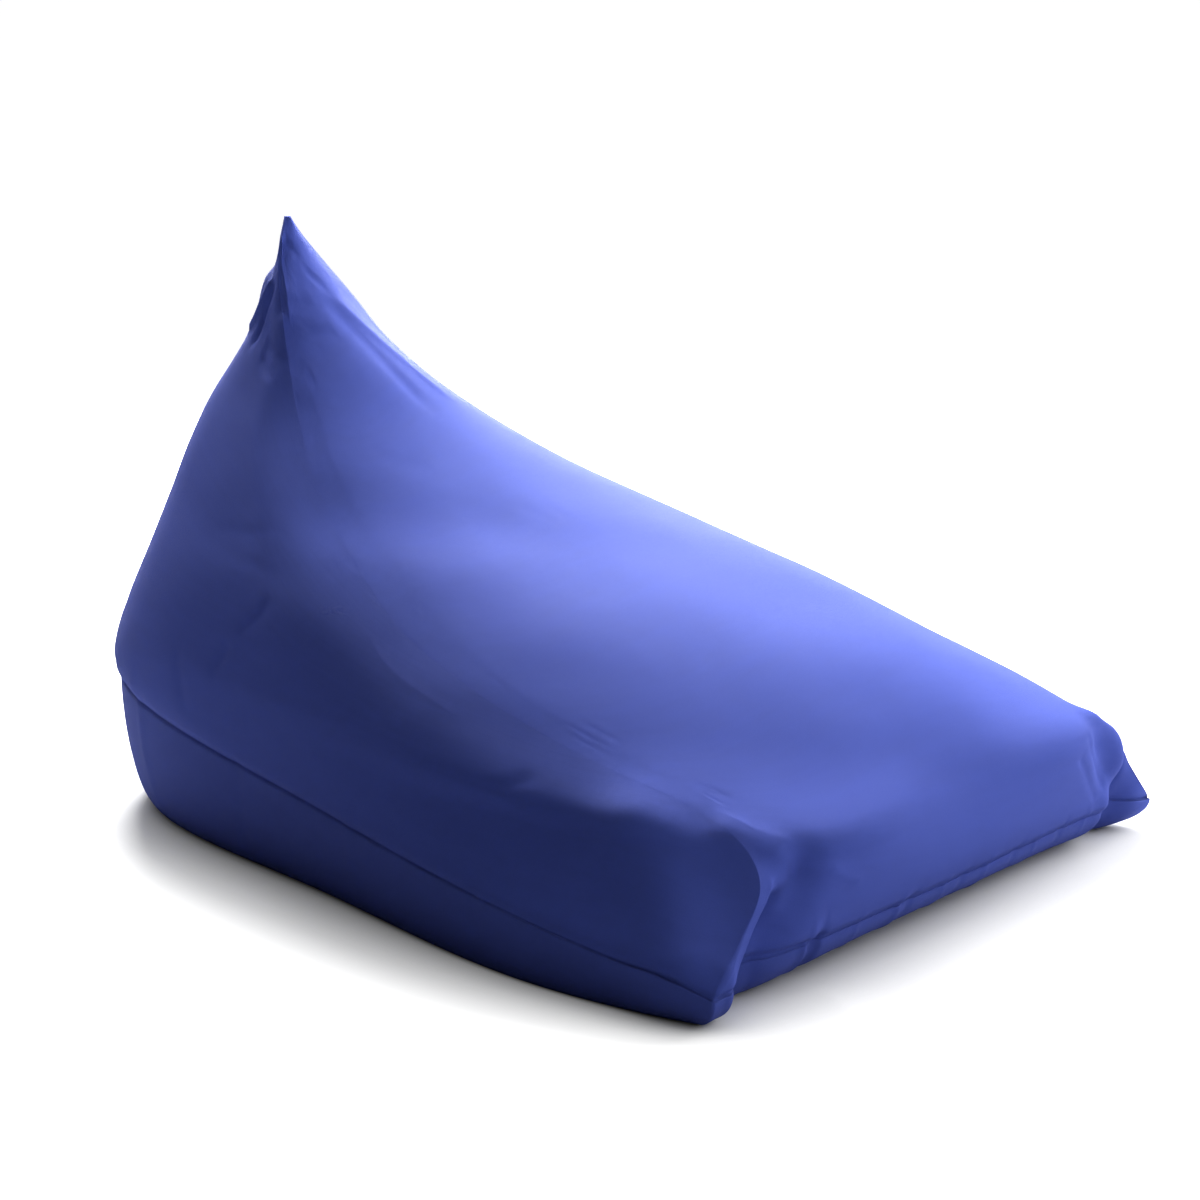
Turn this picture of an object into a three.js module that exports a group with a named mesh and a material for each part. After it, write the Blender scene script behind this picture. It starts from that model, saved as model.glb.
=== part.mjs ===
// Tetrahedral pouf: a bead-filled seat of stretch cloth with three low corners and one tall peak.
// Millimetres, +Z up. The wide front edge faces -Y and the peak stands towards the back.
// The origin is on the floor, under the middle of the pouf's box.
import * as THREE from "three";

// Driving sizes
const FRONT_WIDTH = 1000;      // between the tips of the two front ears
const PEAK_HEIGHT = 766;       // floor to the tip of the peak
const FRONT_REACH = -20;       // most forward point of the front bulge, measured from the ear tips
const BACK_REACH = 1244;       // back corner, measured from the ear tips
const CLOTH = 3;               // thickness of the base cloth
const GAP = 0.3;               // clearance between the base cloth and the filled cover
const SEAM_DRAW = 4;           // how far the base seam pulls the cloth in
const SEAM_DRAW_FADE = 0.3;    // share of a stretch of loop over which it fades towards an ear tip
const FULLNESS = 1.17;         // roundness of a loop between its table points, 1.17 follows a circle

// Colour and finish of the cloth
const CLOTH_COLOUR = 0x3f46b4;
const CLOTH_ROUGHNESS = 0.85;

// Sections of the upper cover from the base seam up to the tip of the peak, in millimetres.
// Each is a half loop from the middle of the front, past the front corner and the side, to the back.
// frontY, frontZ: middle of the front. cornerX, cornerY: the ridge that climbs from ear to peak.
// drop: how far the corner hangs below the straight line from front to back.
// headIn, headOut: heading of the loop as it reaches and leaves the corner, 0 is +X, 90 is +Y.
// sideX, sideY, sideHead: a point half way along the side. backY, backZ, backHead: middle of the back.
const SECTION_COLUMNS = [
  "frontY", "frontZ", "cornerX", "cornerY", "drop", "headIn", "headOut",
  "sideX", "sideY", "sideHead", "backY", "backZ", "backHead",
];
const SECTIONS = [
  [-6, 50, FRONT_WIDTH / 2, 0, 15, 0, 84, 402, 640, 106, BACK_REACH, 188, 176],
  [FRONT_REACH, 94, 446, 0, 6, 4, 82, 404, 640, 105, 1236, 212, 178],
  [-18, 140, 398, 8, 0, 20, 76, 401, 656, 104, 1219, 248, 180],
  [-4, 178, 378, 70, 0, 52, 68, 394, 680, 104, 1208, 273, 180],
  [22, 212, 384, 200, 0, 67, 69, 382, 700, 104, 1199, 297, 180],
  [74, 255, 378, 380, 0, 78, 78, 361, 740, 104, 1184, 332, 180],
  [160, 300, 347, 530, 0, 82, 82, 329, 785, 106, 1168, 376, 180],
  [300, 346, 302, 635, 0, 83, 83, 286, 828, 108, 1152, 425, 180],
  [488, 400, 247, 733, 0, 83, 83, 236, 876, 110, 1136, 480, 180],
  [648, 460, 192, 818, 0, 82, 84, 182, 925, 114, 1116, 531, 180],
  [763, 520, 141, 883, 0, 76, 86, 130, 957, 117, 1090, 580, 178],
  [856, 590, 97, 940, 0, 66, 90, 80, 985, 120, 1063, 632, 168],
  [927, 650, 70, 972, 0, 54, 100, 52, 1003, 124, 1050, 672, 162],
  [976, 703, 43, 998, 0, 44, 110, 28, 1013, 128, 1034, 708, 152],
  [1002, 742, 18, 1012, 0, 36, 116, 13, 1018, 130, 1027, 743, 148],
  [1013, PEAK_HEIGHT, 5, 1017, 0, 30, 120, 3, 1020, 128, 1023, PEAK_HEIGHT, 148],
];

// Outline of the patch that lies on the floor, in the same columns: the left half, then the right,
// where the ear is lifted further off the floor.
const FLOOR_SECTIONS = [
  [112, 0, 478, 36, 0, -14, 82, 358, 640, 109, 1178, 0, 180],
  [112, 0, 448, 62, 0, -10, 80, 358, 640, 109, 1178, 0, 180],
];

// Folds of the upper cover, in millimetres and in places on the sections above.
// Each runs over the surface from one place to another. side: 1 is the right half, -1 the left.
// rise: height of the fold, below zero for a trough. reach: distance over which it fades.
const FOLD_COLUMNS = ["side", "fromPlace", "fromSection", "toPlace", "toSection", "reach", "rise"];
const FOLDS = [
  [1, 0.86, 0, 0.88, 1.9, 30, -26],       // dent beside the right ear
  [-1, 0.86, 0, 0.88, 1.9, 30, -26],      // dent beside the left ear
  [-1, 3, 12.2, 3, 10.4, 22, 9],          // back seam, bunched below the peak
  [1, 0.55, 12.2, 0.72, 9.4, 16, -5],     // long hollow from the peak down the right edge
  [-1, 0.4, 8.4, 0.92, 8.2, 70, -7],      // soft hollow where the back meets the seat
];
const FOLD_STEPS = 10;

// How finely the solids are divided
const FRONT_STEPS = 18;
const SIDE_STEPS = 16;
const BACK_STEPS = 14;
const CORNER_CROWDING = 1.7;   // above 1 crowds the points towards the corner
const ROWS_PER_SECTION = 3;
const BASE_ROWS = 6;
const CORNER_DROP_POWER = 5;   // above 1 keeps the drop close to the corner
const SLOPE_STEP = 0.02;       // distance in places over which the slope of the surface is measured

// One value of a table column at a place between its rows, on a smooth curve through the rows.
function along(rows, column, place) {
  const last = rows.length - 1;
  const row = Math.min(Math.floor(place), last - 1);
  const share = place - row;
  const at = (index) => rows[Math.min(Math.max(index, 0), last)][column];
  const before = row > 0 ? at(row - 1) : 2 * at(0) - at(1);
  const after = row + 2 <= last ? at(row + 2) : 2 * at(last) - at(last - 1);
  const startSlope = (at(row + 1) - before) / 2;
  const endSlope = (after - at(row)) / 2;
  return hermite(at(row), startSlope, at(row + 1), endSlope, share);
}

// Cubic from start to end with the given slopes at its ends.
function hermite(start, startSlope, end, endSlope, share) {
  const square = share * share;
  const cube = square * share;
  return (2 * cube - 3 * square + 1) * start + (cube - 2 * square + share) * startSlope
    + (3 * square - 2 * cube) * end + (cube - square) * endSlope;
}

// The named values of the section at a place between the rows.
function sectionAt(rows, place) {
  return Object.fromEntries(
    SECTION_COLUMNS.map((name, column) => [name, along(rows, column, place)]),
  );
}

// One stretch of a loop between two points, leaving and arriving with the given headings.
function stretch(from, fromHead, to, toHead, share) {
  const length = FULLNESS * from.distanceTo(to);
  const leave = THREE.MathUtils.degToRad(fromHead);
  const arrive = THREE.MathUtils.degToRad(toHead);
  return new THREE.Vector2(
    hermite(from.x, length * Math.cos(leave), to.x, length * Math.cos(arrive), share),
    hermite(from.y, length * Math.sin(leave), to.y, length * Math.sin(arrive), share),
  );
}

// Places round the half loop, from 0 at the front through 1 at the corner and 2 at the side to 3.
function halfLoopPlaces() {
  const places = [];
  for (let step = 0; step < FRONT_STEPS; step += 1) {
    places.push(1 - (1 - step / FRONT_STEPS) ** CORNER_CROWDING);
  }
  for (let step = 0; step < SIDE_STEPS; step += 1) {
    places.push(1 + (step / SIDE_STEPS) ** CORNER_CROWDING);
  }
  for (let step = 0; step <= BACK_STEPS; step += 1) {
    places.push(2 + step / BACK_STEPS);
  }
  return places;
}

// Places round the whole loop: the right half going back, then the left half coming forward.
function loopPlaces() {
  const half = halfLoopPlaces();
  const right = half.map((place) => ({ side: 1, place }));
  const left = half.slice(1, -1).reverse().map((place) => ({ side: -1, place }));
  return [...right, ...left];
}

// A point of a section, before any fold.
function sectionPoint(section, { side, place }) {
  const front = new THREE.Vector2(0, section.frontY);
  const corner = new THREE.Vector2(section.cornerX, section.cornerY);
  const flank = new THREE.Vector2(section.sideX, section.sideY);
  const back = new THREE.Vector2(0, section.backY);
  let flat;
  if (place <= 1) {
    flat = stretch(front, 0, corner, section.headIn, place);
  } else if (place <= 2) {
    flat = stretch(corner, section.headOut, flank, section.sideHead, place - 1);
  } else {
    flat = stretch(flank, section.sideHead, back, section.backHead, place - 2);
  }
  const climb = (flat.y - section.frontY) / (section.backY - section.frontY);
  const nearCorner = Math.max(0, 1 - Math.abs(place - 1)) ** CORNER_DROP_POWER;
  const height = THREE.MathUtils.lerp(section.frontZ, section.backZ, climb) - section.drop * nearCorner;
  return new THREE.Vector3(side * flat.x, flat.y, height);
}

// The line of each fold over the cover, as points a short way apart.
const foldLines = FOLDS.map((row) => {
  const fold = Object.fromEntries(FOLD_COLUMNS.map((name, column) => [name, row[column]]));
  const points = [];
  for (let step = 0; step <= FOLD_STEPS; step += 1) {
    const share = step / FOLD_STEPS;
    const section = sectionAt(SECTIONS, THREE.MathUtils.lerp(fold.fromSection, fold.toSection, share));
    const place = THREE.MathUtils.lerp(fold.fromPlace, fold.toPlace, share);
    points.push(sectionPoint(section, { side: fold.side, place }));
  }
  return { ...fold, points };
});

// How far the folds lift a point of the cover off its plain surface.
function foldRise(point) {
  const nearest = new THREE.Vector3();
  let rise = 0;
  for (const fold of foldLines) {
    let distance = Infinity;
    for (let step = 0; step < FOLD_STEPS; step += 1) {
      const piece = new THREE.Line3(fold.points[step], fold.points[step + 1]);
      piece.closestPointToPoint(point, true, nearest);
      distance = Math.min(distance, nearest.distanceTo(point));
    }
    rise += fold.rise * Math.exp(-((distance / fold.reach) ** 2));
  }
  return rise;
}

// The loop at a place between the sections, with its folds, as points round the pouf.
function coverLoop(place) {
  const section = sectionAt(SECTIONS, place);
  const upper = sectionAt(SECTIONS, place + SLOPE_STEP);
  return loopPlaces().map((spot) => {
    const point = sectionPoint(section, spot);
    const round = sectionPoint(section, { ...spot, place: spot.place + SLOPE_STEP }).sub(point);
    const up = sectionPoint(upper, spot).sub(point);
    const normal = round.cross(up).normalize().multiplyScalar(spot.side);
    return point.addScaledVector(normal, foldRise(point));
  });
}

// The seam: the lowest loop of the cover, pulled inwards in plan everywhere but at the ear tips.
function seamLoop() {
  const loop = coverLoop(0);
  return loopPlaces().map(({ place }, index) => {
    const point = loop[index];
    const next = loop[(index + 1) % loop.length];
    const previous = loop[(index + loop.length - 1) % loop.length];
    const run = new THREE.Vector2(next.x - previous.x, next.y - previous.y).normalize();
    const inset = SEAM_DRAW * THREE.MathUtils.smoothstep(Math.abs(place - 1), 0, SEAM_DRAW_FADE);
    return new THREE.Vector3(point.x - run.y * inset, point.y + run.x * inset, point.z);
  });
}

// Loops of the base from the floor up to the seam, each a step round a quarter ellipse that is
// upright at the seam and level on the floor. depth: how far the surface lies inside the outer one.
function baseLoops(seam, lift, depth) {
  const leftFloor = sectionAt(FLOOR_SECTIONS, 0);
  const rightFloor = sectionAt(FLOOR_SECTIONS, 1);
  const spots = loopPlaces();
  const loops = [];
  for (let row = 0; row <= BASE_ROWS; row += 1) {
    const angle = (Math.PI / 2) * (row / BASE_ROWS);
    loops.push(seam.map((point, index) => {
      const floor = sectionPoint(spots[index].side > 0 ? rightFloor : leftFloor, spots[index]);
      const outward = new THREE.Vector2(point.x - floor.x, point.y - floor.y);
      const reach = outward.length();
      const height = point.z + lift;
      const flatness = Math.hypot(height * Math.sin(angle), reach * Math.cos(angle));
      const run = reach * Math.sin(angle) - (depth * height * Math.sin(angle)) / flatness;
      const rise = height * (1 - Math.cos(angle)) + (depth * reach * Math.cos(angle)) / flatness;
      outward.setLength(run);
      return new THREE.Vector3(floor.x + outward.x, floor.y + outward.y, rise);
    }));
  }
  return loops;
}

// A closed solid from a stack of loops, its first and last loop closed by a fan to a middle point.
// A stack that climbs inside its solid and comes down outside is turned inside out.
function loftedSolid(loops, insideOut = false) {
  const count = loops[0].length;
  const points = loops.flat();
  const faces = [];
  for (let row = 0; row + 1 < loops.length; row += 1) {
    for (let index = 0; index < count; index += 1) {
      const next = (index + 1) % count;
      const low = row * count;
      const high = low + count;
      faces.push([low + index, low + next, high + next], [low + index, high + next, high + index]);
    }
  }
  const middle = (loop) => loop
    .reduce((sum, point) => sum.add(point), new THREE.Vector3())
    .divideScalar(count);
  const first = points.length;
  points.push(middle(loops[0]), middle(loops[loops.length - 1]));
  const top = (loops.length - 1) * count;
  for (let index = 0; index < count; index += 1) {
    const next = (index + 1) % count;
    faces.push([first, next, index], [first + 1, top + index, top + next]);
  }
  const geometry = new THREE.BufferGeometry();
  geometry.setAttribute("position", new THREE.Float32BufferAttribute(
    points.flatMap((point) => [point.x, point.y, point.z]), 3));
  geometry.setIndex(faces.flatMap((face) => (insideOut ? face.reverse() : face)));
  geometry.computeVertexNormals();
  return geometry;
}

const clothMaterial = (name) => new THREE.MeshStandardMaterial({
  name,
  color: CLOTH_COLOUR,
  roughness: CLOTH_ROUGHNESS,
  metalness: 0,
});

// Filled cover: the upper cloth and its filling, stepped in below the seam to leave room for the base.
function filledCover() {
  const seam = seamLoop();
  const loops = baseLoops(seam, 0, CLOTH + 2 * GAP);
  loops.push(seam);
  const rows = (SECTIONS.length - 1) * ROWS_PER_SECTION;
  for (let row = 1; row <= rows; row += 1) {
    loops.push(coverLoop(row / ROWS_PER_SECTION));
  }
  const mesh = new THREE.Mesh(loftedSolid(loops), clothMaterial("upper_cloth"));
  mesh.name = "filled_cover";
  return mesh;
}

// Base panel: the cloth between the seam and the floor, flat where it lies on the floor.
function basePanel() {
  const seam = seamLoop();
  const inner = baseLoops(seam, -GAP, CLOTH);
  const outer = baseLoops(seam, -GAP, 0).reverse();
  const mesh = new THREE.Mesh(loftedSolid([...inner, ...outer], true), clothMaterial("base_cloth"));
  mesh.name = "base_panel";
  return mesh;
}

const pouf = new THREE.Group();
pouf.add(filledCover(), basePanel());

// The origin goes to the floor, under the middle of the box.
const box = new THREE.Box3().setFromObject(pouf);
pouf.position.set(-(box.min.x + box.max.x) / 2, -(box.min.y + box.max.y) / 2, -box.min.z);

export default pouf;
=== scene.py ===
import math

import bpy
import numpy as np
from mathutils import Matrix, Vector


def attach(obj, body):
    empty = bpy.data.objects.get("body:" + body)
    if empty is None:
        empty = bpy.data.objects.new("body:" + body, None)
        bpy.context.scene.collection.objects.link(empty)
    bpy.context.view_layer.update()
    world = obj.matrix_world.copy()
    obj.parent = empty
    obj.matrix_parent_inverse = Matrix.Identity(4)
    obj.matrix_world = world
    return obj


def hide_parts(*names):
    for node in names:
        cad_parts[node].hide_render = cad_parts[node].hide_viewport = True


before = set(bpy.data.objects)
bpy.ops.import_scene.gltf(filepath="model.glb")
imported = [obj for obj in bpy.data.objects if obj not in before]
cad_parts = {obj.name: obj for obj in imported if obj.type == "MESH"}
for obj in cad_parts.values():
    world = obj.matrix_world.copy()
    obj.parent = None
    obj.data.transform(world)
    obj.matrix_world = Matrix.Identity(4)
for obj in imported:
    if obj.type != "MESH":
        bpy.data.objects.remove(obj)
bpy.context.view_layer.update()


# Filled cover. One fan of stretch knit cloth wraps the left side, the front and the right side, and is
# sewn to itself down the back. Loose beads fill it, so it is round all over but for its three thin
# corners: an ear at each end of the front edge, and the tall peak at the back.
FRONT_WIDTH = 1.000     # between the tips of the two ears
PEAK_HEIGHT = 0.766
BACK_REACH = 1.244      # from the line through the ear tips to the back corner
EAR_LINE = -0.60836     # where the line through the ear tips lies in the frame
FULLNESS = 1.17         # roundness of a loop between its table points, 1.17 follows a circle

# Half loops of the cover, from the base seam up to the tip of the peak, with y from the ear line.
# front: the middle of the front. corner: the ridge that climbs from an ear to the peak.
# drop: how far the corner hangs below the straight line from front to back.
# head_in, head_out: heading of the loop into and out of the corner, 0 is +X and 90 is +Y.
# side: a point half way along the side. back: the seam down the middle of the back.
SECTION_COLUMNS = [
    "front_y", "front_z", "corner_x", "corner_y", "drop", "head_in", "head_out",
    "side_x", "side_y", "side_head", "back_y", "back_z", "back_head",
]
SECTIONS = [
    (-0.006, 0.050, FRONT_WIDTH / 2, 0.000, 0.015, 0, 84, 0.402, 0.640, 106, BACK_REACH, 0.188, 176),
    (-0.020, 0.094, 0.446, 0.000, 0.006, 4, 82, 0.404, 0.640, 105, 1.236, 0.212, 178),
    (-0.018, 0.140, 0.398, 0.008, 0.000, 20, 76, 0.401, 0.656, 104, 1.219, 0.248, 180),
    (-0.004, 0.178, 0.378, 0.070, 0.000, 60, 64, 0.394, 0.680, 104, 1.208, 0.273, 180),
    (0.022, 0.212, 0.384, 0.200, 0.000, 67, 69, 0.382, 0.700, 104, 1.199, 0.297, 180),
    (0.074, 0.255, 0.378, 0.380, 0.000, 78, 78, 0.361, 0.740, 104, 1.184, 0.332, 180),
    (0.160, 0.300, 0.347, 0.530, 0.000, 82, 82, 0.329, 0.785, 106, 1.168, 0.376, 180),
    (0.300, 0.346, 0.302, 0.635, 0.000, 83, 83, 0.286, 0.828, 108, 1.152, 0.425, 180),
    (0.488, 0.400, 0.247, 0.733, 0.000, 83, 83, 0.236, 0.876, 110, 1.136, 0.480, 180),
    (0.648, 0.460, 0.192, 0.818, 0.000, 82, 84, 0.182, 0.925, 114, 1.116, 0.531, 180),
    (0.763, 0.520, 0.141, 0.883, 0.000, 76, 86, 0.130, 0.957, 117, 1.090, 0.580, 178),
    (0.856, 0.590, 0.098, 0.936, 0.000, 60, 92, 0.080, 0.985, 120, 1.063, 0.632, 168),
    (0.927, 0.650, 0.072, 0.966, 0.000, 42, 106, 0.052, 1.003, 124, 1.050, 0.672, 162),
    (0.976, 0.703, 0.045, 0.994, 0.000, 32, 116, 0.028, 1.013, 128, 1.034, 0.708, 152),
    (1.002, 0.742, 0.019, 1.010, 0.000, 26, 120, 0.013, 1.018, 130, 1.027, 0.743, 148),
    (1.013, PEAK_HEIGHT, 0.005, 1.017, 0, 30, 120, 0.003, 1.020, 128, 1.023, PEAK_HEIGHT, 148),
]
CORNER_DROP_POWER = 5   # keeps the drop close to the corner

# Points round a loop, crowded towards the corners, and rows of them, crowded towards the base seam
FRONT_STEPS = 128
SIDE_STEPS = 98
BACK_STEPS = 88
CORNER_CROWDING = 1.5
COVER_ROWS = 132
SEAM_CROWDING = 1.25


def hermite(start, start_slope, end, end_slope, share):
    """Cubic from start to end with the given slopes at its ends."""
    square = share ** 2
    cube = share ** 3
    return (
        (2 * cube - 3 * square + 1) * start + (cube - 2 * square + share) * start_slope
        + (3 * square - 2 * cube) * end + (cube - square) * end_slope
    )


def along(rows, places):
    """Every column of a table at places between its rows, on smooth curves through the rows."""
    table = np.array(rows, float)
    padded = np.vstack([2 * table[0] - table[1], table, 2 * table[-1] - table[-2]])
    low = np.clip(np.floor(places).astype(int), 0, len(table) - 2)
    before, start, end, after = (padded[low + step] for step in range(4))
    share = (places - low)[:, None]
    return hermite(start, (end - before) / 2, end, (after - start) / 2, share)


def ring_places():
    """Places round a loop, 0 front, 1 corner, 2 side, 3 back, and the side of each: 1 right, -1 left."""
    front = 1 - (1 - np.arange(FRONT_STEPS) / FRONT_STEPS) ** CORNER_CROWDING
    flank = 1 + (np.arange(SIDE_STEPS) / SIDE_STEPS) ** CORNER_CROWDING
    back = 2 + np.arange(BACK_STEPS + 1) / BACK_STEPS
    half = np.concatenate([front, flank, back])
    places = np.concatenate([half, half[-2:0:-1]])
    sides = np.where(np.arange(len(places)) < len(half), 1.0, -1.0)
    return places, sides


def smoothstep(value, low, high):
    share = np.clip((value - low) / (high - low), 0, 1)
    return share * share * (3 - 2 * share)


def section_points(sections, places, sides):
    """Points on loops: one row for each section, one column for each place."""
    value = dict(zip(SECTION_COLUMNS, np.asarray(sections).T))
    zero = np.zeros(len(sections))
    knot_x = np.stack([zero, value["corner_x"], value["side_x"], zero], axis=1)
    knot_y = np.stack([value[name] for name in ("front_y", "corner_y", "side_y", "back_y")], axis=1)
    leave = np.radians(np.stack([zero, value["head_out"], value["side_head"]], axis=1))
    arrive = np.radians(np.stack([value["head_in"], value["side_head"], value["back_head"]], axis=1))
    part = np.minimum(places.astype(int), 2)
    share = places - part
    start_x, start_y = knot_x[:, part], knot_y[:, part]
    end_x, end_y = knot_x[:, part + 1], knot_y[:, part + 1]
    length = FULLNESS * np.hypot(end_x - start_x, end_y - start_y)
    leave, arrive = leave[:, part], arrive[:, part]
    x = hermite(start_x, length * np.cos(leave), end_x, length * np.cos(arrive), share)
    y = hermite(start_y, length * np.sin(leave), end_y, length * np.sin(arrive), share)
    front_y, front_z, back_y, back_z, drop = (
        value[name][:, None] for name in ("front_y", "front_z", "back_y", "back_z", "drop")
    )
    near_corner = np.maximum(0, 1 - np.abs(places - 1)) ** CORNER_DROP_POWER
    z = front_z + (back_z - front_z) * (y - front_y) / (back_y - front_y) - drop * near_corner
    return np.stack([sides * x, y + EAR_LINE, z], axis=-1)


def outward(points):
    """Unit normals of a stack of loops that run anticlockwise and climb."""
    around = np.roll(points, -1, axis=1) - np.roll(points, 1, axis=1)
    up = np.gradient(points, axis=0)
    normal = np.cross(around, up)
    return normal / np.linalg.norm(normal, axis=-1, keepdims=True)


# Folds of the cover. Each runs over the surface through places on the sections, and fades at its ends.
# side: 1 right, -1 left. reach: distance over which it fades. rise: its height, below zero for a trough.
# edge: 2 is a soft roll, 1 a sharp crease.
FOLDS = [
    # side, [(place, section), ...], reach, rise, edge
    # Main folds: the dents beside both ears, the bunched back seam below the peak, the hollow down the
    # right edge, and the shallow hollow where back meets seat
    (1, [(0.86, 0.0), (0.86, 0.9), (0.88, 1.9)], 0.030, -0.026, 2),
    (-1, [(0.86, 0.0), (0.86, 0.9), (0.88, 1.9)], 0.030, -0.026, 2),
    (-1, [(3.0, 12.2), (3.0, 11.3), (3.0, 10.4)], 0.022, 0.009, 2),
    (1, [(0.55, 12.2), (0.64, 10.8), (0.72, 9.4)], 0.016, -0.002, 2),
    (-1, [(0.4, 8.4), (0.66, 8.3), (0.92, 8.2)], 0.070, -0.007, 2),
    # Left ear: a sharp edge with a trough beside it, the dent filled up towards its top, the broad
    # round flap, and a soft fill where the flap runs out into the seat
    (-1, [(0.95, 0.2), (0.97, 1.1), (0.96, 1.9)], 0.007, 0.0045, 1),
    (-1, [(0.90, 0.2), (0.91, 0.9), (0.91, 1.5)], 0.012, -0.010, 2),
    (-1, [(0.87, 1.3), (0.88, 1.7), (0.90, 2.1)], 0.022, 0.009, 2),
    (-1, [(1.19, 2.5), (1.14, 1.4), (1.07, 0.4)], 0.050, 0.018, 2),
    (-1, [(0.98, 3.0), (0.95, 2.8), (0.92, 2.6)], 0.022, 0.006, 2),
    # Base seam beside the left ear, drawn in deep
    (-1, [(0.60, 0.10), (0.78, 0.10), (0.93, 0.12)], 0.006, -0.007, 2),
    # Right ear: the front bulges over the root of the ear, with a thin crease behind the bulge and two
    # fine pulls in front of it
    (1, [(0.80, 0.4), (0.90, 1.0), (0.97, 1.9)], 0.024, 0.012, 2),
    (1, [(0.87, 1.2), (0.89, 1.8), (0.92, 2.4)], 0.028, 0.018, 2),
    (1, [(0.86, 0.3), (0.93, 0.9), (1.00, 1.7)], 0.007, -0.008, 2),
    (1, [(0.73, 2.5), (0.78, 1.7), (0.80, 0.9)], 0.007, -0.0016, 2),
    (1, [(0.66, 2.0), (0.70, 1.4), (0.72, 0.7)], 0.007, -0.0014, 2),
    # Peak: a sharp fold down its left edge, short creases on the facet beside it, a long low roll and
    # hollow down the right edge, small creases below the fold, and the bunched cloth behind it
    (-1, [(1.02, 13.9), (0.90, 12.8), (0.92, 11.9)], 0.006, 0.0040, 1),
    (-1, [(1.20, 13.6), (1.12, 12.8), (1.06, 12.0)], 0.010, -0.007, 2),
    (-1, [(0.81, 13.9), (0.60, 13.6), (0.39, 13.4)], 0.005, -0.0014, 2),
    (-1, [(0.25, 12.9), (0.14, 12.7), (0.03, 12.5)], 0.005, -0.0015, 2),
    (-1, [(0.87, 12.3), (0.67, 12.4), (0.48, 12.4)], 0.005, 0.0015, 2),
    (-1, [(0.71, 11.5), (0.57, 11.5), (0.43, 11.5)], 0.005, -0.0014, 2),
    (1, [(0.09, 12.1), (0.25, 11.3), (0.36, 10.3)], 0.009, 0.0018, 2),
    (-1, [(0.15, 12.1), (0.03, 11.3), (0.00, 10.4)], 0.012, -0.0018, 2),
    (-1, [(0.96, 10.7), (0.90, 10.7), (0.84, 10.6)], 0.004, -0.0012, 2),
    (-1, [(0.97, 10.4), (0.92, 10.4), (0.86, 10.4)], 0.004, -0.0011, 2),
    (-1, [(0.98, 10.1), (0.93, 10.1), (0.88, 10.1)], 0.004, -0.0010, 2),
    (-1, [(2.20, 12.3), (2.45, 11.7), (2.72, 10.9)], 0.008, 0.0050, 2),
    (-1, [(2.05, 12.2), (2.25, 11.5), (2.35, 10.8)], 0.008, -0.0050, 2),
    (-1, [(2.05, 10.6), (1.80, 10.5), (1.62, 10.5)], 0.007, -0.0035, 2),
    (-1, [(1.95, 10.9), (1.50, 10.8), (1.15, 10.8)], 0.007, -0.0028, 2),
    # Left flank: pulls below the middle, and a dimple line near the back corner
    (-1, [(1.97, 5.8), (2.03, 5.4), (2.08, 5.1)], 0.009, -0.0018, 2),
    (-1, [(2.16, 4.3), (2.19, 3.7), (2.21, 3.2)], 0.008, -0.0024, 2),
    (-1, [(2.33, 3.1), (2.33, 2.2), (2.32, 1.4)], 0.009, -0.0018, 2),
    (-1, [(1.49, 2.7), (1.41, 3.1), (1.30, 3.5)], 0.010, -0.0016, 2),
    # Packing creases: faint lines left from folding, on the flank, the back and the seat
    (-1, [(1.24, 6.0), (1.30, 5.3), (1.24, 4.7)], 0.005, 0.0005, 1),
    (-1, [(0.93, 3.3), (0.91, 3.0), (0.85, 2.8)], 0.004, 0.0008, 1),
    (-1, [(0.86, 3.7), (0.84, 3.8), (0.81, 3.8)], 0.004, -0.0010, 2),
    (-1, [(0.74, 1.9), (0.66, 1.6), (0.58, 1.4)], 0.004, 0.0014, 1),
    (-1, [(2.16, 7.1), (2.04, 7.2), (1.79, 7.5)], 0.006, -0.0007, 2),
    (-1, [(2.06, 6.6), (1.97, 6.6), (1.83, 6.6)], 0.006, -0.0007, 2),
    (-1, [(1.31, 7.0), (1.13, 7.2), (0.99, 7.3)], 0.006, -0.0006, 2),
    (-1, [(0.60, 9.4), (0.50, 9.3), (0.39, 9.3)], 0.006, -0.0007, 2),
    (-1, [(0.20, 8.6), (0.12, 8.5), (0.04, 8.4)], 0.006, -0.0007, 2),
    (-1, [(0.41, 8.7), (0.42, 8.4), (0.45, 8.1)], 0.008, -0.0003, 2),
    (1, [(0.08, 9.2), (0.26, 9.1), (0.44, 8.9)], 0.006, -0.0006, 2),
    (-1, [(0.91, 4.6), (0.87, 4.7), (0.82, 4.8)], 0.005, -0.0006, 2),
]
FOLD_STEPS = 8          # straight runs that stand for a fold's curved line
FOLD_LIMIT = 3          # reaches from its line at which a fold has died away


def fold_rise(points):
    """How far the folds lift each point of the cover off its plain surface."""
    rise = np.zeros(points.shape[:-1])
    for side, marks, reach, height, edge in FOLDS:
        track = along(marks, np.linspace(0, len(marks) - 1, FOLD_STEPS + 1))
        line = np.concatenate([
            section_points(along(SECTIONS, spot[1:]), spot[:1], np.array([side]))[0] for spot in track
        ])
        middle = line.mean(axis=0)
        span = np.linalg.norm(line - middle, axis=1).max() + FOLD_LIMIT * reach
        near = np.linalg.norm(points - middle, axis=-1) < span
        close = points[near]
        nearest = np.full(len(close), np.inf)
        for start, end in zip(line[:-1], line[1:]):
            run = end - start
            share = np.clip(((close - start) @ run) / (run @ run), 0, 1)
            distance = np.linalg.norm(close - start - share[:, None] * run, axis=-1)
            nearest = np.minimum(nearest, distance)
        rise[near] += height * np.exp(-((nearest / reach) ** edge))
    return rise


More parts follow.
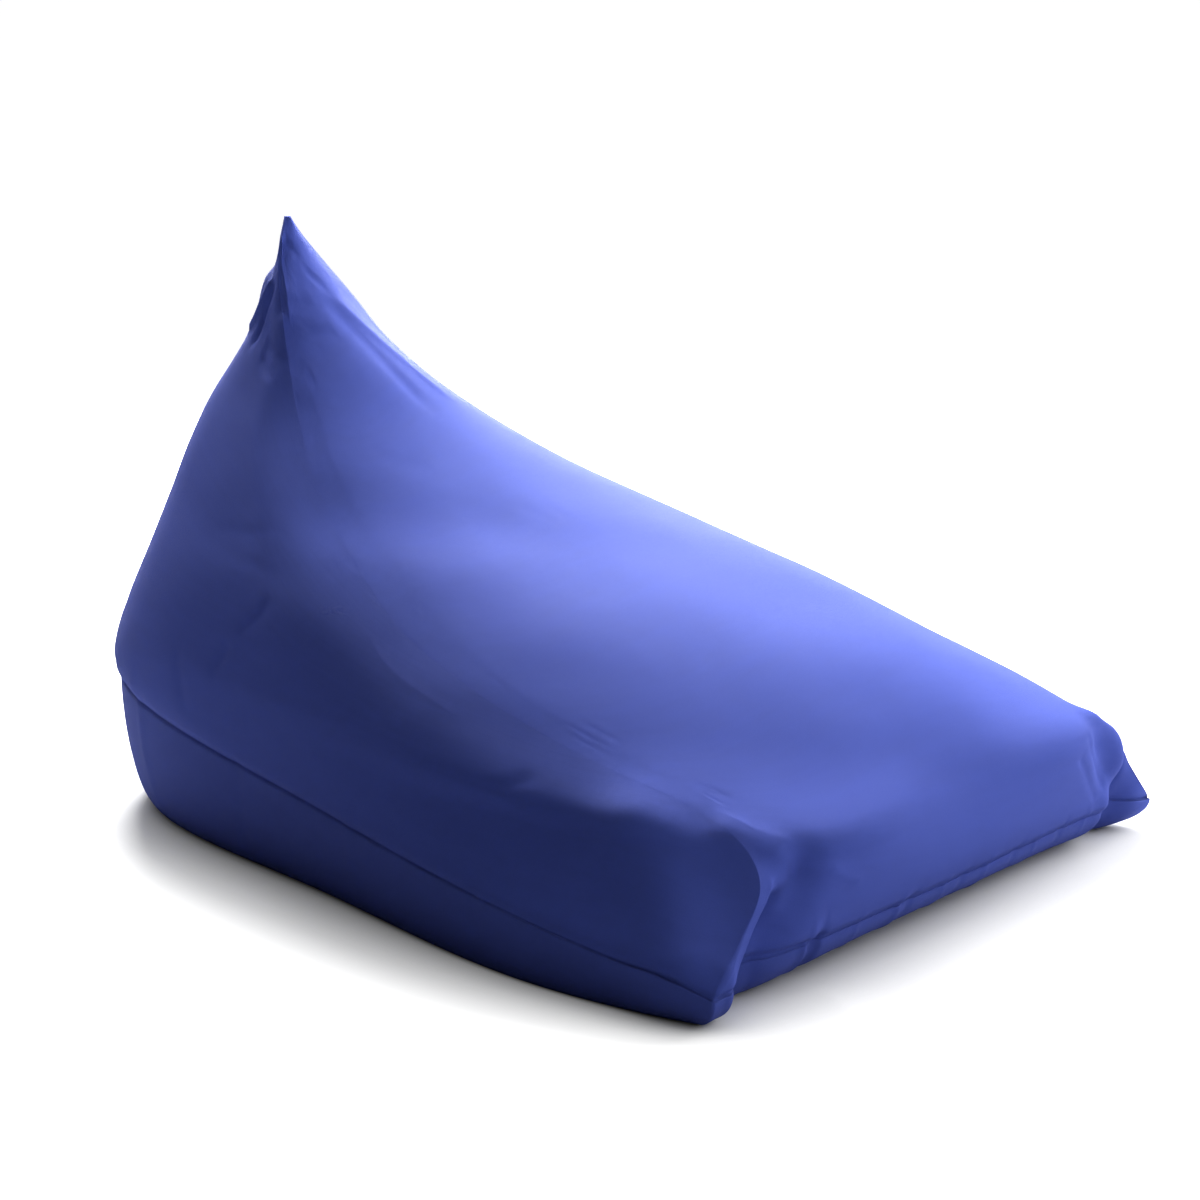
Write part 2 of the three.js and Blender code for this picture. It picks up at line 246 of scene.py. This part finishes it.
# The filling of loose beads leaves low, uneven swells under the cloth.
SWELLS = [
    # length of a swell, its height
    (0.230, 0.0009),
    (0.120, 0.0003),
    (0.060, 0.0001),
]
SWELL_WAVES = 7
SWELL_SEED = 11
SWELL_START = (0.01, 0.08)      # distances from the seam between which the swells set in
SWELL_END = (0.03, 0.20)        # distances below the tip of the peak between which they fade


def swell(points):
    """Height of the uneven swells, the sum of a few waves in scattered directions."""
    chance = np.random.default_rng(SWELL_SEED)
    total = np.zeros(points.shape[:-1])
    for length, height in SWELLS:
        for _ in range(SWELL_WAVES):
            heading = chance.normal(size=3)
            heading *= math.tau / (length * np.linalg.norm(heading))
            start = chance.uniform(0, math.tau)
            total += height * np.sin(points @ heading + start) / math.sqrt(SWELL_WAVES)
    return total


# Puckers stand square to the base seam, where the stitching gathers the cloth a little.
PUCKERS = [
    # side, place, half width, height, length up the cover
    (-1, 0.95, 0.010, 0.0040, 0.040),
    (-1, 0.80, 0.008, -0.0020, 0.030),
    (-1, 0.64, 0.006, 0.0035, 0.045),
    (-1, 0.60, 0.006, -0.0035, 0.050),
    (-1, 0.42, 0.006, 0.0016, 0.026),
    (-1, 0.24, 0.006, 0.0030, 0.034),
    (-1, 0.19, 0.006, -0.0026, 0.036),
    (-1, 0.05, 0.005, 0.0024, 0.032),
    (1, 0.03, 0.006, -0.0026, 0.036),
    (1, 0.13, 0.006, 0.0026, 0.034),
    (1, 0.27, 0.006, -0.0018, 0.028),
    (1, 0.38, 0.005, 0.0016, 0.028),
    (1, 0.52, 0.006, -0.0018, 0.030),
    (1, 0.66, 0.005, 0.0016, 0.026),
    (1, 1.10, 0.008, -0.0022, 0.030),
    (1, 1.40, 0.010, 0.0018, 0.036),
    (1, 1.85, 0.010, -0.0018, 0.036),
    (1, 2.30, 0.010, 0.0020, 0.040),
    (1, 2.80, 0.012, -0.0024, 0.040),
    (-1, 1.07, 0.008, -0.0018, 0.024),
    (-1, 1.25, 0.009, 0.0012, 0.028),
    (-1, 1.52, 0.009, -0.0014, 0.030),
    (-1, 1.90, 0.010, 0.0014, 0.032),
    (-1, 2.20, 0.010, -0.0016, 0.034),
    (-1, 2.52, 0.012, 0.0022, 0.040),
    (-1, 2.68, 0.012, -0.0026, 0.044),
    (-1, 2.90, 0.012, 0.0026, 0.040),
]


def pucker_rise(points, climb):
    """Height of the puckers at points that lie the distance climb up the cover from the seam."""
    rise = np.zeros(points.shape[:-1])
    for side, place, width, height, length in PUCKERS:
        foot = section_points(SECTIONS[:1], np.array([place]), np.array([side]))[0, 0]
        beside = np.hypot(points[..., 0] - foot[0], points[..., 1] - foot[1])
        rise += height * np.exp(-((beside / width) ** 2) - (climb / length) ** 2)
    return rise


def arc_lengths(points, axis):
    """Distance along the rows or columns of a grid of points, from its first."""
    steps = np.linalg.norm(np.diff(points, axis=axis), axis=-1)
    return np.insert(np.cumsum(steps, axis=axis), 0, 0, axis=axis)


def cloth_corners(loops):
    """Distances round and up the cloth at the four corners of each face between the loops."""
    count = loops.shape[1]
    closed = np.concatenate([loops, loops[:, :1]], axis=1)
    round_way = arc_lengths(closed, 1)
    left = np.arange(count) >= count // 2
    start = round_way[:, :-1] - left * round_way[:, -1:]
    end = round_way[:, 1:] - left * round_way[:, -1:]
    up = arc_lengths(loops, 0)
    next_up = np.roll(up, -1, axis=1)
    corners = [
        (start[:-1], up[:-1]),
        (end[:-1], next_up[:-1]),
        (end[1:], next_up[1:]),
        (start[1:], up[1:]),
    ]
    return np.stack([np.stack(corner, axis=-1) for corner in corners], axis=2).reshape(-1, 4, 2)


def loft(name, loops, inside_out=False):
    """A closed mesh from a stack of loops, its first and last loop closed by a fan."""
    rows, count = loops.shape[:2]
    index = np.arange(rows * count).reshape(rows, count)
    turn = np.roll(index, -1, axis=1)
    sides = np.stack([index[:-1], turn[:-1], turn[1:], index[1:]], axis=-1).reshape(-1, 4)
    low, high = rows * count, rows * count + 1
    foot = np.stack([np.full(count, low), turn[0], index[0]], axis=-1)
    head = np.stack([np.full(count, high), index[-1], turn[-1]], axis=-1)
    points = np.vstack([loops.reshape(-1, 3), loops[0].mean(0), loops[-1].mean(0)])
    faces = [*sides.tolist(), *foot.tolist(), *head.tolist()]
    spots = [
        *cloth_corners(loops).tolist(),
        *points[foot][..., :2].tolist(),
        *points[head][..., :2].tolist(),
    ]
    if inside_out:
        faces = [face[::-1] for face in faces]
        spots = [spot[::-1] for spot in spots]
    mesh = bpy.data.meshes.new(name)
    mesh.from_pydata(points.tolist(), [], faces)
    layer = mesh.uv_layers.new(name="cloth")
    layer.data.foreach_set("uv", np.concatenate([np.ravel(spot) for spot in spots]).astype(np.float32))
    mesh.shade_smooth()
    piece = bpy.data.objects.new(name, mesh)
    bpy.context.scene.collection.objects.link(piece)
    return piece


# The stitched edge turns the cloth down into the seam, and the filling swells out just above it.
SEAM_GROOVE = 0.0045
SEAM_GROOVE_REACH = 0.007
SEAM_SWELL = 0.0045
SEAM_SWELL_REACH = 0.040
EAR_TIP = (0.02, 0.20)          # places from the tip of an ear between which the swelling sets in

places, sides = ring_places()
cover_rows = (len(SECTIONS) - 1) * np.linspace(0, 1, COVER_ROWS + 1) ** SEAM_CROWDING
plain_cover = section_points(along(SECTIONS, cover_rows), places, sides)
climb = arc_lengths(plain_cover, 0)
below_peak = PEAK_HEIGHT - plain_cover[..., 2]
swell_share = smoothstep(climb, *SWELL_START) * smoothstep(below_peak, *SWELL_END)
seam_share = climb / SEAM_SWELL_REACH
rise = (
    fold_rise(plain_cover)
    + swell(plain_cover) * swell_share
    + pucker_rise(plain_cover, climb)
    + SEAM_SWELL * seam_share * np.exp(1 - seam_share) * smoothstep(np.abs(places - 1), *EAR_TIP)
    - SEAM_GROOVE * (np.exp(-((climb / SEAM_GROOVE_REACH) ** 2)) - (climb == 0))
)
cover = plain_cover + outward(plain_cover) * rise[..., None]

# The base seam draws the lower edge of the cover inwards everywhere but at the tips of the ears.
SEAM_DRAW = 0.004
SEAM_DRAW_FADE = 0.3    # places from the tip of an ear


def drawn_seam(loop, depth):
    """The loop moved inwards in plan by depth, which fades away at the tips of the ears."""
    run = np.roll(loop, -1, axis=0) - np.roll(loop, 1, axis=0)
    run = run / np.hypot(run[:, 0], run[:, 1])[:, None]
    inset = depth * smoothstep(np.abs(places - 1), 0, SEAM_DRAW_FADE)
    return loop + np.stack([-run[:, 1] * inset, run[:, 0] * inset, np.zeros(len(loop))], axis=-1)


seam = drawn_seam(cover[0], SEAM_DRAW)

# Outline of the patch that lies on the floor, in the columns of the sections: left half, then right,
# where the ear is lifted further off the floor.
FLOOR_SECTIONS = [
    (0.112, 0, 0.478, 0.036, 0, -14, 82, 0.358, 0.640, 109, 1.178, 0, 180),
    (0.112, 0, 0.448, 0.062, 0, -10, 80, 0.358, 0.640, 109, 1.178, 0, 180),
]


def base_loops(seam, steps, lift, depth):
    """Loops from the floor up to the seam, on quarter ellipses that are upright at the seam."""
    halves = [section_points([row], places, sides)[0] for row in FLOOR_SECTIONS]
    floor = np.where((sides > 0)[:, None], halves[1], halves[0])
    out = seam[:, :2] - floor[:, :2]
    reach = np.linalg.norm(out, axis=1)
    height = seam[:, 2] + lift
    loops = []
    for angle in np.linspace(0, math.pi / 2, steps + 1):
        flatness = np.hypot(height * math.sin(angle), reach * math.cos(angle))
        run = reach * math.sin(angle) - depth * height * math.sin(angle) / flatness
        rise = height * (1 - math.cos(angle)) + depth * reach * math.cos(angle) / flatness
        plan = floor[:, :2] + out * (run / reach)[:, None]
        loops.append(np.column_stack([plan, rise]))
    return np.array(loops)


UNDERSIDE_ROWS = 6
COVER_INSET = 0.0036    # the cover's underside lies this far inside the base panel
underside = base_loops(seam, UNDERSIDE_ROWS, 0, COVER_INSET)
filled = loft("upper_cover", np.concatenate([underside, seam[None], cover[1:]]))


def link(tree, source, target):
    tree.links.new(source, target)


def maths(tree, operation, *values):
    """A maths node whose inputs are numbers or sockets."""
    node = tree.nodes.new("ShaderNodeMath")
    node.operation = operation
    for socket, value in zip(node.inputs, values):
        if isinstance(value, (int, float)):
            socket.default_value = value
        else:
            link(tree, value, socket)
    return node.outputs[0]


def noise(tree, vector, scale, detail):
    node = tree.nodes.new("ShaderNodeTexNoise")
    node.inputs["Scale"].default_value = scale
    node.inputs["Detail"].default_value = detail
    link(tree, vector, node.inputs["Vector"])
    return node.outputs["Fac"]


def stretched(tree, vector, scale):
    node = tree.nodes.new("ShaderNodeVectorMath")
    node.operation = "MULTIPLY"
    node.inputs[1].default_value = scale
    link(tree, vector, node.inputs[0])
    return node.outputs[0]


# Fine jersey knit: upright wales about 0.9 mm apart, each a column of small V stitches.
KNIT_WALE = 0.0009
KNIT_COURSE = 0.0007
KNIT_SLANT = 0.8        # how steeply the two legs of a stitch lean, in courses
KNIT_WANDER = 0.0012    # how far the yarn strays from straight rows
WANDER_SCALE = 45
STITCH_RELIEF = 0.25    # height of a stitch, and below it that of a wale
WALE_RELIEF = 0.35

knit = bpy.data.node_groups.new("jersey_knit", "ShaderNodeTree")
knit.interface.new_socket("Vector", in_out="INPUT", socket_type="NodeSocketVector")
knit.interface.new_socket("Height", in_out="OUTPUT", socket_type="NodeSocketFloat")
knit_in = knit.nodes.new("NodeGroupInput")
knit_out = knit.nodes.new("NodeGroupOutput")
split = knit.nodes.new("ShaderNodeSeparateXYZ")
link(knit, knit_in.outputs["Vector"], split.inputs[0])
stray = maths(knit, "MULTIPLY", noise(knit, knit_in.outputs["Vector"], WANDER_SCALE, 2), KNIT_WANDER)
across = maths(knit, "DIVIDE", maths(knit, "ADD", split.outputs["X"], stray), KNIT_WALE)
leg = maths(knit, "ABSOLUTE", maths(knit, "SUBTRACT", maths(knit, "FRACT", across), 0.5))
course = maths(knit, "DIVIDE", maths(knit, "ADD", split.outputs["Y"], stray), KNIT_COURSE)
slanted = maths(knit, "MULTIPLY_ADD", leg, KNIT_SLANT, course)
stitch = maths(knit, "SINE", maths(knit, "MULTIPLY", slanted, math.tau))
wale = maths(knit, "SINE", maths(knit, "MULTIPLY", leg, math.tau))
relief = maths(knit, "MULTIPLY_ADD", wale, WALE_RELIEF, maths(knit, "MULTIPLY", stitch, STITCH_RELIEF))
link(knit, relief, knit_out.inputs["Height"])

# Shade of the cloth: brushed streaks along the courses, cloudy patches and a fine grain of yarn
SHADE_SPREAD = 0.18
STREAK_STRETCH = (5.0, 60.0, 1.0)
STREAK_SHARE = 0.30
CLOUD_SCALE = 22
CLOUD_SHARE = 0.25
GRAIN_SCALE = 620
GRAIN_SHARE = 0.45

shade = bpy.data.node_groups.new("cloth_shade", "ShaderNodeTree")
shade.interface.new_socket("Vector", in_out="INPUT", socket_type="NodeSocketVector")
shade.interface.new_socket("Colour", in_out="INPUT", socket_type="NodeSocketColor")
shade.interface.new_socket("Colour", in_out="OUTPUT", socket_type="NodeSocketColor")
shade.interface.new_socket("Mask", in_out="OUTPUT", socket_type="NodeSocketFloat")
shade_in = shade.nodes.new("NodeGroupInput")
shade_out = shade.nodes.new("NodeGroupOutput")
streak = noise(shade, stretched(shade, shade_in.outputs["Vector"], STREAK_STRETCH), 1.0, 3)
cloud = noise(shade, shade_in.outputs["Vector"], CLOUD_SCALE, 3)
grain = noise(shade, shade_in.outputs["Vector"], GRAIN_SCALE, 1)
blend = maths(shade, "MULTIPLY_ADD", cloud, CLOUD_SHARE, maths(shade, "MULTIPLY", streak, STREAK_SHARE))
blend = maths(shade, "MULTIPLY_ADD", grain, GRAIN_SHARE, blend)
level = maths(shade, "MULTIPLY_ADD", maths(shade, "SUBTRACT", blend, 0.5), 2 * SHADE_SPREAD, 1.0)
tint = shade.nodes.new("ShaderNodeVectorMath")
tint.operation = "SCALE"
link(shade, shade_in.outputs["Colour"], tint.inputs[0])
link(shade, level, tint.inputs["Scale"])
link(shade, tint.outputs[0], shade_out.inputs["Colour"])
link(shade, blend, shade_out.inputs["Mask"])

CLOTH_ROUGHNESS = (0.72, 0.9)
CLOTH_SHEEN = 0.02
CLOTH_SHEEN_TINT = (1.0, 0.85, 0.6, 1.0)
CLOTH_SHEEN_ROUGHNESS = 0.45
CLOTH_SPECULAR = 0.06
KNIT_DEPTH = 0.00025
YARN_DEPTH = 0.0004


def knit_cloth(name, colour):
    """Soft stretch knit of one colour."""
    cloth = bpy.data.materials.new(name)
    cloth.use_nodes = True
    tree = cloth.node_tree
    shader = tree.nodes["Principled BSDF"]
    spot = tree.nodes.new("ShaderNodeUVMap")
    spot.uv_map = "cloth"
    dye = tree.nodes.new("ShaderNodeGroup")
    dye.node_tree = shade
    dye.inputs["Colour"].default_value = (*colour, 1.0)
    link(tree, spot.outputs[0], dye.inputs["Vector"])
    link(tree, dye.outputs["Colour"], shader.inputs["Base Color"])
    span = tree.nodes.new("ShaderNodeMapRange")
    span.inputs["To Min"].default_value, span.inputs["To Max"].default_value = CLOTH_ROUGHNESS
    link(tree, dye.outputs["Mask"], span.inputs["Value"])
    link(tree, span.outputs[0], shader.inputs["Roughness"])
    shader.inputs["Sheen Weight"].default_value = CLOTH_SHEEN
    shader.inputs["Sheen Tint"].default_value = CLOTH_SHEEN_TINT
    shader.inputs["Sheen Roughness"].default_value = CLOTH_SHEEN_ROUGHNESS
    shader.inputs["Specular IOR Level"].default_value = CLOTH_SPECULAR
    stitches = tree.nodes.new("ShaderNodeGroup")
    stitches.node_tree = knit
    link(tree, spot.outputs[0], stitches.inputs["Vector"])
    yarn = tree.nodes.new("ShaderNodeBump")
    yarn.inputs["Distance"].default_value = YARN_DEPTH
    link(tree, dye.outputs["Mask"], yarn.inputs["Height"])
    bump = tree.nodes.new("ShaderNodeBump")
    bump.inputs["Distance"].default_value = KNIT_DEPTH
    link(tree, stitches.outputs["Height"], bump.inputs["Height"])
    link(tree, yarn.outputs[0], bump.inputs["Normal"])
    link(tree, bump.outputs[0], shader.inputs["Normal"])
    return cloth


COVER_BLUE = (0.052, 0.080, 0.370)
filled.data.materials.append(knit_cloth("upper_cloth", COVER_BLUE))
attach(filled, "root")
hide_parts("filled_cover")


# Base panel. One triangle of the same cloth with bowed sides, sewn all round to the lower edge of the
# cover. It rises in a round band from the floor to the seam, low at the front and higher at the back.
PANEL_ROWS = 28
PANEL_THICKNESS = 0.002
PANEL_GAP = 0.0003
inner = base_loops(seam, PANEL_ROWS, -PANEL_GAP, PANEL_THICKNESS)
outer = base_loops(seam, PANEL_ROWS, -PANEL_GAP, 0)
panel = loft("base_cloth_panel", np.concatenate([inner, outer[::-1]]), inside_out=True)

BASE_BLUE = (0.052, 0.078, 0.350)
panel.data.materials.append(knit_cloth("base_cloth", BASE_BLUE))
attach(panel, "root")
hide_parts("base_panel")


# Floor. A wide plain sheet of matt white studio paper. A glow that only the camera sees makes it
# white. Painted shade: the glow is weaker near the pouf than further away, and a painted contact shadow
# dims it close under the cloth.
FLOOR_SIZE = 120.0
PAPER_SEEN = 0.55
PAPER_THROWN = 0.50
# glow level next to the pouf, lowered there as painted shade
PAPER_GLOW_IN_PAINTED_SHADE = 0.75
PAPER_GLOW_FAR = 1.0
PAPER_GLOW_START = 0.9
PAPER_GLOW_END = 2.6
PAPER_SHADE_REACH = 0.14
PAPER_SHADE_POWER = 2
PAPER_ROUGHNESS = 0.9
PAPER_SPECULAR = 0.1

bpy.ops.mesh.primitive_plane_add(size=FLOOR_SIZE)
floor_sheet = bpy.context.object
floor_sheet.name = "studio_floor"
paper = bpy.data.materials.new("studio_paper")
paper.use_nodes = True
paper_tree = paper.node_tree
paper_shader = paper_tree.nodes["Principled BSDF"]
paper_shader.inputs["Roughness"].default_value = PAPER_ROUGHNESS
paper_shader.inputs["Specular IOR Level"].default_value = PAPER_SPECULAR
paper_seen = paper_tree.nodes.new("ShaderNodeLightPath").outputs["Is Camera Ray"]
where = paper_tree.nodes.new("ShaderNodeTexCoord").outputs["Object"]
away = paper_tree.nodes.new("ShaderNodeVectorMath")
away.operation = "LENGTH"
link(paper_tree, where, away.inputs[0])
# Painted shade: the camera-seen glow falls off towards the pouf
painted_halo_glow = paper_tree.nodes.new("ShaderNodeMapRange")
painted_halo_glow.inputs["From Min"].default_value = PAPER_GLOW_START
painted_halo_glow.inputs["From Max"].default_value = PAPER_GLOW_END
painted_halo_glow.inputs["To Min"].default_value = PAPER_GLOW_IN_PAINTED_SHADE
painted_halo_glow.inputs["To Max"].default_value = PAPER_GLOW_FAR
link(paper_tree, away.outputs["Value"], painted_halo_glow.inputs["Value"])
paper_tone = paper_tree.nodes.new("ShaderNodeCombineColor")
paper_level = maths(paper_tree, "MULTIPLY_ADD", paper_seen, PAPER_SEEN - PAPER_THROWN, PAPER_THROWN)
for channel in paper_tone.inputs:
    link(paper_tree, paper_level, channel)
link(paper_tree, paper_tone.outputs[0], paper_shader.inputs["Base Color"])
paper_shader.inputs["Emission Color"].default_value = (1, 1, 1, 1)
# Painted contact shadow: ambient occlusion dims the camera-seen glow close under the cloth
open_sky = paper_tree.nodes.new("ShaderNodeAmbientOcclusion")
open_sky.inputs["Distance"].default_value = PAPER_SHADE_REACH
painted_shadow_share = maths(paper_tree, "POWER", open_sky.outputs["AO"], PAPER_SHADE_POWER)
painted_shadow_seen = maths(paper_tree, "MULTIPLY", painted_shadow_share, paper_seen)
glow_under_painted_shadow = maths(paper_tree, "MULTIPLY", painted_halo_glow.outputs[0], painted_shadow_seen)
link(paper_tree, glow_under_painted_shadow, paper_shader.inputs["Emission Strength"])
floor_sheet.data.materials.append(paper)


# Light. Large soft boxes behind the pouf to the right, one high and one low, graze the seat. Weaker
# ones at the right, in front and overhead fill the front, and the studio round about is nearly dark.
STUDIO_FILL = 0.01
SOFT_BOXES = [
    # name, place, size, watts
    ("key_high", (1.9, 1.7, 2.4), 2.0, 470),
    ("key_low", (2.6, 2.2, 1.0), 2.0, 330),
    ("fill_right", (2.5, -1.2, 1.5), 2.0, 123),
    ("fill_front", (0.6, -3.0, 1.5), 2.0, 41),
    ("fill_top", (0.0, 0.0, 3.0), 2.5, 27),
]
LIGHT_AIM = (0.0, 0.0, 0.25)

studio = bpy.data.worlds.new("studio")
studio.use_nodes = True
studio_tree = studio.node_tree
studio_wall = studio_tree.nodes["Background"]
studio_wall.inputs["Color"].default_value = (1, 1, 1, 1)
wall_seen = studio_tree.nodes.new("ShaderNodeLightPath").outputs["Is Camera Ray"]
wall_light = maths(studio_tree, "MAXIMUM", wall_seen, STUDIO_FILL)
link(studio_tree, wall_light, studio_wall.inputs["Strength"])
bpy.context.scene.world = studio

for name, place, size, watts in SOFT_BOXES:
    light = bpy.data.lights.new(name, "AREA")
    light.size = size
    light.energy = watts
    lamp = bpy.data.objects.new(name, light)
    lamp.location = place
    facing = Vector(place) - Vector(LIGHT_AIM)
    lamp.rotation_euler = facing.to_track_quat("Z", "Y").to_euler()
    bpy.context.scene.collection.objects.link(lamp)
bpy.context.scene.view_settings.view_transform = "Standard"


# Camera. It stands low, off the left front corner, and looks down a little with a long lens.
CAMERA_PLACE = (-3.26685, -2.49073, 1.17962)
CAMERA_TILT = 78.0
CAMERA_TURN = -53.752
LENS_MM = 100.0
SENSOR_MM = 36.0

lens = bpy.data.cameras.new("camera")
lens.lens = LENS_MM
lens.sensor_width = SENSOR_MM
camera = bpy.data.objects.new("camera", lens)
camera.location = CAMERA_PLACE
camera.rotation_euler = (math.radians(CAMERA_TILT), 0, math.radians(CAMERA_TURN))
bpy.context.scene.collection.objects.link(camera)
bpy.context.scene.camera = camera
